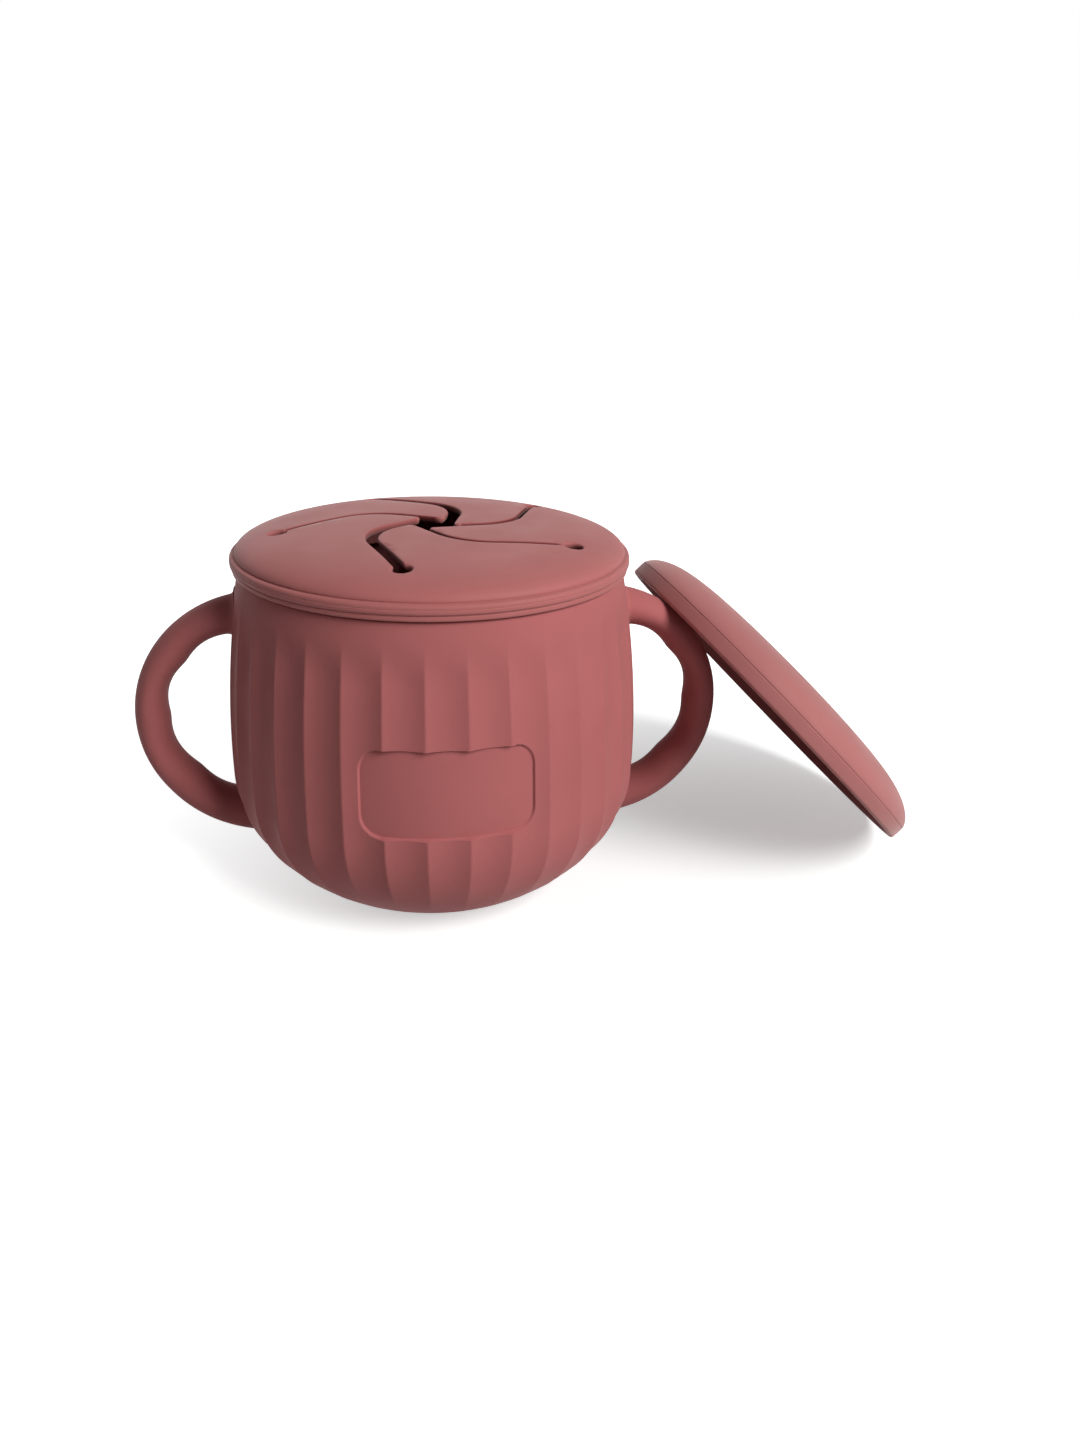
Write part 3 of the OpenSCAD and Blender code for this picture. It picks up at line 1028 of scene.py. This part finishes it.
@dataclass
class Edge:
    """How the membrane's free edges are rounded, above and below, and how much painted shade the walls
    of narrow slits get.
    """

    thickness: float = 1.8
    top: float = 0.45
    bottom: float = 1.2
    top_steps: int = 6
    bottom_steps: int = 3
    painted_shade_from: float = 0.2  # depth from which a narrow slit's wall gets its full painted shade
    darkest_shade_gap: float = 1.0  # slits up to this wide get the most painted shade
    unshaded_gap: float = 4.5  # and from this on no painted shade

    def levels(self) -> list[tuple[float, float, float]]:
        """Returns inset, drop and tilt of the rows from the top to the bottom."""
        found = []
        for turn in np.linspace(0, 1, self.top_steps + 1) * math.pi / 2:
            inset, drop = 1 - math.sin(turn), 1 - math.cos(turn)
            found.append((self.top * inset, self.top * drop, turn))
        for turn in np.linspace(0, 1, self.bottom_steps + 1) * math.pi / 2:
            inset, rise = 1 - math.cos(turn), 1 - math.sin(turn)
            drop = self.thickness - self.bottom * rise
            found.append((self.bottom * inset, drop, math.pi / 2 + turn))
        return found

    def painted_shade_of_wall(self, gaps: np.ndarray, drop: float) -> np.ndarray:
        """Returns the painted shade on a cut's wall, at its gaps and a drop, 0 to 1."""
        narrow = smooth_step((self.unshaded_gap - gaps) / (self.unshaded_gap - self.darkest_shade_gap))
        return narrow * min(1.0, max(0.0, drop / self.painted_shade_from))


@dataclass
class SnackLid:
    """The press-on lid: a low dome in a bead, with five petals cut in it."""

    cup: Cup
    slits: Slits = field(default_factory=Slits)
    edge: Edge = field(default_factory=Edge)
    gap: float = 0.3
    bead_out: float = 1.4
    dome_in: float = 1.15
    dome_h: float = 5.5
    dome_m: float = 3.08  # roundness of the dome's shoulder
    dome_n: float = 2.2  # squareness of the dome's edge
    dome_up: float = 3.6  # from the lid's lower edge to the dome's
    plug_t: float = 2.2
    plug_depth: float = 7.4
    fill_r: float = 37.8  # the petals and what is round them lie inside this
    columns: int = 360
    dome_rows: int = 44
    groove_share: float = 0.0012  # of the dome's radius, left to the groove
    grid: float = 1.3
    grid_margin: float = 0.55  # share of the grid kept clear along an edge
    seam_pitch: float = 1.1
    bend_reach: float = 5.0  # how far into a petal its bend goes

    @property
    def lip_z(self) -> float:
        """Height of the lid's lower edge."""
        return self.cup.body_h + self.gap

    @property
    def bead_r(self) -> float:
        """Largest radius of the lid."""
        return self.cup.neck_r + self.bead_out

    @property
    def dome_r(self) -> float:
        """Radius at which the dome meets the bead."""
        return self.bead_r - self.dome_in

    def dome(self, r: np.ndarray | float) -> np.ndarray:
        """Returns the height of the dome at a distance from the axis.

        Args:
            r: The distance.

        Returns:
            The height above the floor.
        """
        share = np.minimum(1.0, np.asarray(r, float) / self.dome_r)
        rise = (1.0 - share**self.dome_m) ** (1.0 / self.dome_n)
        return self.lip_z + self.dome_up + self.dome_h * rise

    def upward(self, point: np.ndarray) -> np.ndarray:
        """Returns the dome's outward normal over a point seen from above.

        Args:
            point: The point.

        Returns:
            The unit normal.
        """
        r, step = float(np.hypot(*point)), 0.01
        slope = float(self.dome(r + step) - self.dome(r - step)) / (2 * step)
        normal = np.array([*(-slope * point / max(r, 1e-6)), 1.0])
        return normal / np.linalg.norm(normal)

    def _lay(self, shell: Shell, flat: np.ndarray, drop: float) -> np.ndarray:
        """Adds points to the membrane.

        Args:
            shell: The surface that they are added to.
            flat: The points seen from above.
            drop: How far they lie below the dome.

        Returns:
            The points' numbers.
        """
        z = self.dome(np.hypot(flat[:, 0], flat[:, 1])) - drop
        return shell.row(np.column_stack([flat, z]))

    def _profile(self) -> np.ndarray:
        """Draws the turned part of the lid, from under the petals to over them."""
        cup = self.cup
        inner_r = cup.neck_r - cup.wall
        plug_r = inner_r - self.gap
        plug_in = plug_r - self.plug_t
        rim_z = cup.body_h + cup.rim_h
        low = rim_z - self.plug_depth
        roof = rim_z + self.gap
        channel_r = inner_r + cup.rim_t + self.gap
        lip, bead = self.lip_z, self.bead_r
        under = float(self.dome(plug_in)) - self.edge.thickness
        turned_part = rounded(
            [
                Corner(self.fill_r, float(self.dome(self.fill_r)) - self.edge.thickness),
                Corner(plug_in, under, 0.12),
                Corner(plug_in, low, 0.5),
                Corner(plug_r, low, 0.7),
                Corner(plug_r, roof, 0.2),
                Corner(channel_r, roof, 0.3),
                Corner(channel_r, lip, 0.3),
                Corner(bead - 0.4, lip, 0.5),
                Corner(bead - 0.4, lip + 1.1, 0.2),
                Corner(bead - 0.75, lip + 1.25, 0.08),
                Corner(bead, lip + 1.35, 0.7),
                Corner(bead, lip + 2.35, 0.15),
                Corner(bead - 0.1, lip + 2.45, 0.08),
                Corner(bead - 0.04, lip + 2.55, 0.1),
                Corner(bead - 0.06, lip + 3.5, 0.75),
                Corner(self.dome_r - 0.12, lip + self.dome_up - 0.08, 0.06),
                Corner(self.dome_r + 0.02, lip + self.dome_up + 0.25),
            ]
        )
        first = math.asin(1.0 - self.groove_share)
        last = math.asin(self.fill_r / self.dome_r)
        radii = self.dome_r * np.sin(np.linspace(first, last, self.dome_rows))
        return np.vstack([turned_part, np.column_stack([radii, self.dome(radii)])])

    def _runs(
        self,
        shell: Shell,
        lines: Sequence[LineAtInset],
        outs: Sequence[tuple[np.ndarray, np.ndarray]],
    ) -> list[list[np.ndarray]]:
        """Builds the rounded free edges along some lines.

        Args:
            shell: The surface that they are added to.
            lines: For each run, its line at an inset, and the gaps along it.
            outs: For each run, the way to the slit at its two ends.

        Returns:
            For each run, its rows from the top to the bottom.
        """
        runs = []
        for line, out in zip(lines, outs):
            rows = []
            for inset, drop, tilt in self.edge.levels():
                flat, gaps = line(inset)
                row = self._lay(shell, flat, drop)
                # paints shade on the walls of narrow slits
                shell.painted_shades.update(zip(row, self.edge.painted_shade_of_wall(gaps, drop)))
                for end, way in zip((0, -1), out):
                    up = self.upward(flat[end])
                    aside = np.array([*way, 0.0])
                    shell.normals[row[end]] = math.cos(tilt) * up + math.sin(tilt) * aside
                rows.append(row)
            for high, low in zip(rows, rows[1:]):
                shell.band(high, low, ring=False)
            runs.append(rows)
        return runs

    def _close(
        self, shell: Shell, runs: list[list[np.ndarray]], rings: list[np.ndarray]
    ) -> None:
        """Closes the membrane over, under and along its hinge lines.

        Args:
            shell: The surface that is closed.
            runs: The free edges in order, each joined by a hinge to the next.
            rings: Rows of the turned part, over and under, or none.
        """
        points = np.vstack(shell.points)
        seams = []
        for i, run in enumerate(runs):
            following = runs[(i + 1) % len(runs)]
            pair = []
            for level, way in ((0, 1.0), (-1, -1.0)):
                start, stop = points[run[level][-1]], points[following[level][0]]
                length = np.linalg.norm(stop - start)
                share = spread(0, length, self.seam_pitch)[1:-1] / length
                flat = start[:2] + (stop - start)[:2] * share[:, None]
                drop = 0.0 if level == 0 else self.edge.thickness
                row = self._lay(shell, flat, drop)
                for number, spot in zip(row, flat):
                    shell.normals[number] = way * self.upward(spot)
                pair.append(row)
            seams.append(pair)
            down = [level[0] for level in following]
            up = [level[-1] for level in run]
            wall = [*pair[0], *down, *pair[1][::-1], *up[::-1]]
            shell.faces.append(tuple(int(n) for n in wall))
        for level, side in ((0, 0), (-1, 1)):
            loop = np.concatenate(
                [part for run, seam in zip(runs, seams) for part in (run[level], seam[side])]
            )
            outer = [rings[side]] if rings else []
            self._fill(shell, [loop, *outer], below=side == 1)

    def _fill(self, shell: Shell, loops: list[np.ndarray], below: bool) -> None:
        """Fills the surface between some loops with even triangles.

        Args:
            shell: The surface that it is added to.
            loops: Closed loops of point numbers.
            below: Whether this is the underside.
        """
        points = np.vstack(shell.points)[:, :2]
        numbers = np.concatenate(loops)
        edges: list[tuple[int, int]] = []
        ends: list[np.ndarray] = []
        first = 0
        for loop in loops:
            size = len(loop)
            edges += [(first + j, first + (j + 1) % size) for j in range(size)]
            ends.append(np.stack([points[loop], points[np.roll(loop, -1)]], axis=1))
            first += size
        sides = np.concatenate(ends)
        inner = self._grid(points[numbers])
        clear = self._distance(inner, sides) > self.grid_margin * self.grid
        inner = inner[self._inside(inner, sides) & clear]
        drop = self.edge.thickness if below else 0.0
        numbers = np.concatenate([numbers, self._lay(shell, inner, drop)])
        flat = np.vstack([points, inner])[numbers]
        spots = [Vector((float(x), float(y))) for x, y in flat]
        _, _, triangles, origin, _, _ = delaunay_2d_cdt(spots, edges, [], 0, 1e-6)
        found = np.array([[origin[n][0] for n in corners] for corners in triangles])
        keep = self._inside(flat[found].mean(axis=1), sides)
        for a, b, c in numbers[found[keep]].tolist():
            shell.faces.append((a, c, b) if below else (a, b, c))

    def _grid(self, around: np.ndarray) -> np.ndarray:
        """Returns a staggered grid of points over some others.

        Args:
            around: The points that the grid covers.

        Returns:
            The grid's points.
        """
        low, high = around.min(axis=0), around.max(axis=0)
        rise = self.grid * math.sqrt(3) / 2
        found = []
        for i, y in enumerate(np.arange(low[1], high[1], rise)):
            x = np.arange(low[0] + (i % 2) * self.grid / 2, high[0], self.grid)
            found.append(np.column_stack([x, np.full(len(x), y)]))
        return np.vstack(found)

    def _inside(self, spots: np.ndarray, sides: np.ndarray) -> np.ndarray:
        """Tells which points lie between the loops that these sides form.

        Args:
            spots: The points.
            sides: The two ends of each side.

        Returns:
            True for each point between the loops.
        """
        a, b = sides[:, 0], sides[:, 1]
        x, y = spots[:, 0, None], spots[:, 1, None]
        spans = (a[:, 1] > y) != (b[:, 1] > y)
        rise = np.where(b[:, 1] == a[:, 1], 1.0, b[:, 1] - a[:, 1])
        crossing = a[:, 0] + (y - a[:, 1]) * (b[:, 0] - a[:, 0]) / rise
        return (spans & (x < crossing)).sum(axis=1) % 2 == 1

    def _distance(self, spots: np.ndarray, sides: np.ndarray) -> np.ndarray:
        """Returns each point's distance from the nearest side.

        Args:
            spots: The points.
            sides: The two ends of each side.

        Returns:
            The distances.
        """
        a, b = sides[:, 0], sides[:, 1]
        along = b - a
        length = np.maximum((along**2).sum(axis=1), 1e-12)
        off = spots[:, None, :] - a
        share = np.clip((off * along).sum(axis=2) / length, 0, 1)
        return np.linalg.norm(off - share[:, :, None] * along, axis=2).min(axis=1)

    def _ways(self) -> tuple[np.ndarray, np.ndarray]:
        """Returns the way to the hole and to the slit at a hinge's two ends."""
        slits = self.slits
        return -unit(slits.hinge_dir), unit(slits.dir + slits.pitch - 90.0)

    def _line(self, draw: Callable[[int, float], Line], k: int, turn: float) -> LineAtInset:
        """Returns one slit's or petal's line, turned to its place on the lid.

        Args:
            draw: The drawing of the line at a number and an inset.
            k: The slit's or petal's number, from 0.
            turn: Its turn about the lid's axis in degrees.

        Returns:
            The line's points and gaps, as a function of the inset.
        """

        def at_inset(inset: float) -> Line:
            """Returns the line's points and gaps at an inset."""
            points, gaps = draw(k, inset)
            return turned(points, turn), gaps

        return at_inset

    def dress_ring(self) -> bpy.types.Object:
        """Builds the lid without its petals and returns the piece."""
        slits = self.slits
        shell = Shell()
        angles = np.linspace(0, math.tau, self.columns, endpoint=False)
        rows = shell.turn(self._profile(), angles)
        to_hole, to_slit = self._ways()
        lines, outs = [], []
        for k in range(slits.count):
            turn = slits.first_hole + k * slits.pitch
            lines.append(self._line(slits.surround, k, turn))
            outs.append((turned(to_slit, turn - slits.pitch), turned(to_hole, turn)))
        runs = self._runs(shell, lines, outs)
        self._close(shell, runs, [rows[-1], rows[0]])
        lid = shell.build("lid_ring", LID_FINISH.material())
        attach(lid, "lid")
        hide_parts("snack_lid")
        return lid

    def dress_petal(self, k: int) -> bpy.types.Object:
        """Builds one petal, which meets the lid ring along its hinge line.

        Args:
            k: The petal's number, from 1.

        Returns:
            The piece.
        """
        slits = self.slits
        turn = slits.first_hole + (k - 1) * slits.pitch
        to_hole, to_slit = self._ways()
        shell = Shell()
        runs = self._runs(
            shell,
            [self._line(slits.petal, k - 1, turn)],
            [(turned(to_hole, turn), turned(to_slit, turn))],
        )
        self._close(shell, runs, [])
        petal = shell.build(f"petal_{k}", LID_FINISH.material())
        height = float(self.dome(slits.ring_r))
        start = np.array([*turned(slits.seam_start(0.0), turn), height]) * MM
        inward = turned(unit(slits.hinge_dir + 90.0), turn)
        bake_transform(petal)
        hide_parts(f"flap_{k}")
        return petal


@dataclass
class DustCover:
    """The domed cover, which leans on the right-hand grip."""

    grip: Grip
    r: float = 49.0
    wall: float = 1.8
    skirt_h: float = 3.5
    dome_h: float = 7.9
    dome_m: float = 6.0  # flatness of the dome
    dome_n: float = 1.6  # squareness of the dome's edge
    lean: float = 45.4
    turn: float = 3.5
    y: float = 11.5  # of the rim's centre
    lean_gap: float = 0.25
    rim_edge: float = 0.5  # what rounding takes off the rim's corner
    columns: int = 300
    dome_rows: int = 70
    crown_turn: float = 0.03  # radians of the dome's arc left to its cap
    edge_turn: float = 0.045  # and to its groove

    def _dome(self, r: np.ndarray, r_max: float, height: float) -> np.ndarray:
        """Returns the height of a dome over the rim, at a radius."""
        share = np.minimum(1.0, r / r_max)
        return self.skirt_h + height * (1.0 - share**self.dome_m) ** (1.0 / self.dome_n)

    def _profile(self) -> np.ndarray:
        """Draws the cover's section, with the rim at z = 0."""
        inner_r = self.r - self.wall
        quarter = np.linspace(self.crown_turn, math.pi / 2 - self.edge_turn, self.dome_rows)
        under = inner_r * np.sin(quarter)
        over = self.r * np.sin(quarter[::-1])
        rim = rounded(
            [
                Corner(inner_r, self.skirt_h),
                Corner(inner_r, 0.0, 0.6),
                Corner(self.r, 0.0, 0.8),
                Corner(self.r, self.skirt_h - 0.1, 0.12),
                Corner(self.r - 0.16, self.skirt_h + 0.05, 0.05),
                Corner(self.r - 0.04, self.skirt_h + 0.22),
            ]
        )
        return np.vstack(
            [
                np.column_stack([under, self._dome(under, inner_r, self.dome_h - self.wall)]),
                rim,
                np.column_stack([over, self._dome(over, self.r, self.dome_h)]),
            ]
        )

    def _place(self) -> Matrix:
        """Works out where the cover rests: on the floor and on the grip."""
        lean, turn = math.radians(self.lean), math.radians(self.turn)
        inner_r = self.r - self.wall
        z = self.r * math.sin(lean) - self.rim_edge * min(math.sin(lean), math.cos(lean))
        side = math.cos(lean) * math.sin(turn)
        rest = math.acos(self.y / (inner_r * math.hypot(side, math.cos(turn))))
        rest -= math.atan2(math.cos(turn), side)
        along, across = inner_r * math.cos(rest), inner_r * math.sin(rest)
        rest_z = z + along * math.sin(lean)
        reach = self.grip.outer_r + self.lean_gap
        rest_x = self.grip.x + math.sqrt(reach**2 - (rest_z - self.grip.z) ** 2)
        x = rest_x + along * math.cos(lean) * math.cos(turn) + across * math.sin(turn)
        place = Matrix.Translation(Vector((x, self.y, z)) * MM)
        return place @ Matrix.Rotation(turn, 4, "Z") @ Matrix.Rotation(lean, 4, "Y")

    def dress(self) -> bpy.types.Object:
        """Builds the cover and returns the piece."""
        shell = Shell()
        angles = np.linspace(0, math.tau, self.columns, endpoint=False)
        rows = shell.turn(self._profile(), angles)
        ceiling = self.skirt_h + self.dome_h - self.wall
        shell.cap(rows[0], np.array([0, 0, ceiling]), above=False)
        shell.cap(rows[-1], np.array([0, 0, self.skirt_h + self.dome_h]), above=True)
        cover = shell.build("cover_dome", COVER_FINISH.material(), place=self._place())
        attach(cover, "cover")
        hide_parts("dust_cover")
        return cover


@dataclass(frozen=True)
class Lamp:
    """A soft square lamp that points at the cup."""

    name: str
    place: tuple[float, float, float]
    size: float
    power: float
    colour: tuple[float, float, float] = (1.0, 1.0, 1.0)
    target: tuple[float, float, float] = (0.02, 0.0, 0.04)

    def hang(self) -> None:
        """Hangs the lamp so that it faces its target."""
        data = bpy.data.lights.new(self.name, "AREA")
        data.shape = "SQUARE"
        data.size = self.size
        data.energy = self.power
        data.color = self.colour
        lamp = bpy.data.objects.new(self.name, data)
        lamp.location = self.place
        aim = Vector(self.target) - Vector(self.place)
        lamp.rotation_euler = aim.to_track_quat("-Z", "Y").to_euler()
        bpy.context.scene.collection.objects.link(lamp)


@dataclass(frozen=True)
class Viewpoint:
    """The camera, as it was fitted to the outlines in the photograph."""

    place: tuple[float, float, float] = (-0.01063, -0.22715, 0.1399)
    heading: float = -9.14
    pitch: float = 65.91
    roll: float = 1.54
    lens: float = 25.1
    sensor: float = 36.0
    nearest: float = 0.01

    def build(self) -> None:
        """Stands the camera where the photograph was taken from."""
        data = bpy.data.cameras.new("camera")
        data.lens = self.lens
        data.sensor_width = self.sensor
        data.sensor_fit = "AUTO"
        data.clip_start = self.nearest
        camera = bpy.data.objects.new("camera", data)
        turns = ((self.heading, "Z"), (self.pitch, "X"), (self.roll, "Z"))
        heading, pitch, roll = (Matrix.Rotation(math.radians(turn), 4, axis) for turn, axis in turns)
        camera.matrix_world = Matrix.Translation(self.place) @ heading @ pitch @ roll
        bpy.context.scene.collection.objects.link(camera)
        bpy.context.scene.camera = camera


@dataclass
class Stage:
    """The white floor, the white surroundings and the lamps."""

    lamps: tuple[Lamp, ...] = (
        Lamp("key_lamp", (0.65, -0.69, 0.74), 0.6, 13.9, (1.0, 0.99, 0.975)),
        Lamp("fill_lamp", (-0.8, -0.7, 0.5), 1.0, 0.3),
        Lamp("back_lamp", (-0.15, 1.0, 0.28), 0.9, 0.9),
    )
    sky: float = 0.105
    floor_side: float = 4.0
    floor_glow: float = 0.4
    floor_colour: tuple[float, float, float] = (0.47, 0.48, 0.48)
    floor_seen: tuple[float, float, float] = (0.845, 0.9, 0.9)
    floor_middle: tuple[float, float, float] = (0.07, -0.03, 0.0)
    floor_fade: tuple[float, float] = (0.03, 0.2)

    def build(self) -> None:
        """Builds the floor and the light."""
        self._floor()
        self._sky()
        for lamp in self.lamps:
            lamp.hang()

    def _seen(self, nodes: Nodes) -> bpy.types.NodeSocket:
        """Adds the test for rays that see the background, returns its output."""
        path = nodes.add("ShaderNodeLightPath").outputs
        mirrored = nodes.maths("MAXIMUM", path["Is Camera Ray"], path["Is Glossy Ray"])
        return nodes.maths("MAXIMUM", mirrored, path["Is Transmission Ray"])

    def _floor(self) -> None:
        """Lays a wide floor that shows white and keeps soft shadows."""
        mesh = bpy.data.meshes.new("floor")
        side = self.floor_side
        corners = [(-side, -side, 0), (side, -side, 0), (side, side, 0), (-side, side, 0)]
        mesh.from_pydata(corners, [], [(0, 1, 2, 3)])
        mesh.materials.append(self._floor_finish())
        floor = bpy.data.objects.new("floor", mesh)
        bpy.context.scene.collection.objects.link(floor)

    def _floor_finish(self) -> bpy.types.Material:
        """Builds the floor's finish, which glows to white away from the cup."""
        made = bpy.data.materials.new("floor_white")
        made.use_nodes = True
        nodes = Nodes(made.node_tree)
        made.node_tree.nodes.remove(made.node_tree.nodes["Principled BSDF"])
        seen = self._seen(nodes)
        tones = {"Factor": seen, "A": (*self.floor_colour, 1.0), "B": (*self.floor_seen, 1.0)}
        tone = nodes.add("ShaderNodeMix", tones, data_type="RGBA").outputs["Result"]
        matte = nodes.add("ShaderNodeBsdfDiffuse", {"Color": tone}).outputs[0]
        place = nodes.add("ShaderNodeTexCoord").outputs["Object"]
        ends = {0: place, 1: self.floor_middle}
        reach = nodes.add("ShaderNodeVectorMath", ends, operation="DISTANCE").outputs["Value"]
        near, far = self.floor_fade
        rise = {"Value": reach, "From Min": near, "From Max": far, "To Min": self.floor_glow}
        fade = nodes.add("ShaderNodeMapRange", rise, interpolation_type="SMOOTHSTEP")
        power = nodes.maths("MULTIPLY", seen, fade.outputs["Result"])
        glow = nodes.add("ShaderNodeEmission", {"Strength": power}).outputs[0]
        both = nodes.add("ShaderNodeAddShader", {0: matte, 1: glow}).outputs[0]
        nodes.feed(made.node_tree.nodes["Material Output"], {"Surface": both})
        return made

    def _sky(self) -> None:
        """Makes the world white to look at and a plain soft light otherwise."""
        world = bpy.data.worlds.new("studio")
        bpy.context.scene.world = world
        world.use_nodes = True
        nodes = Nodes(world.node_tree)
        shown = {"Value": self._seen(nodes), "To Min": self.sky, "To Max": 1.0}
        strength = nodes.add("ShaderNodeMapRange", shown).outputs["Result"]
        ground = {"Color": WHITE, "Strength": strength}
        nodes.feed(world.node_tree.nodes["Background"], ground)


def main() -> None:
    """Loads the frame, dresses every piece and sets the stage."""
    logging.basicConfig(level=logging.INFO, format="%(name)s: %(message)s")
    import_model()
    bpy.context.scene.view_settings.view_transform = "Standard"
    Stage().build()
    Viewpoint().build()
    cup = Cup()
    right = Grip(cup, Side.RIGHT)
    lid = SnackLid(cup)
    pieces = [
        cup.dress(),
        Grip(cup, Side.LEFT).dress("left_grip", "left_handle"),
        right.dress("right_grip", "right_handle"),
        lid.dress_ring(),
        *[lid.dress_petal(k) for k in range(1, lid.slits.count + 1)],
        DustCover(right).dress(),
    ]
    for piece in pieces:
        faces = sum(len(polygon.vertices) - 2 for polygon in piece.data.polygons)
        LOG.info("%s has %d triangles", piece.name, faces)


if __name__ == "__main__":
    main()
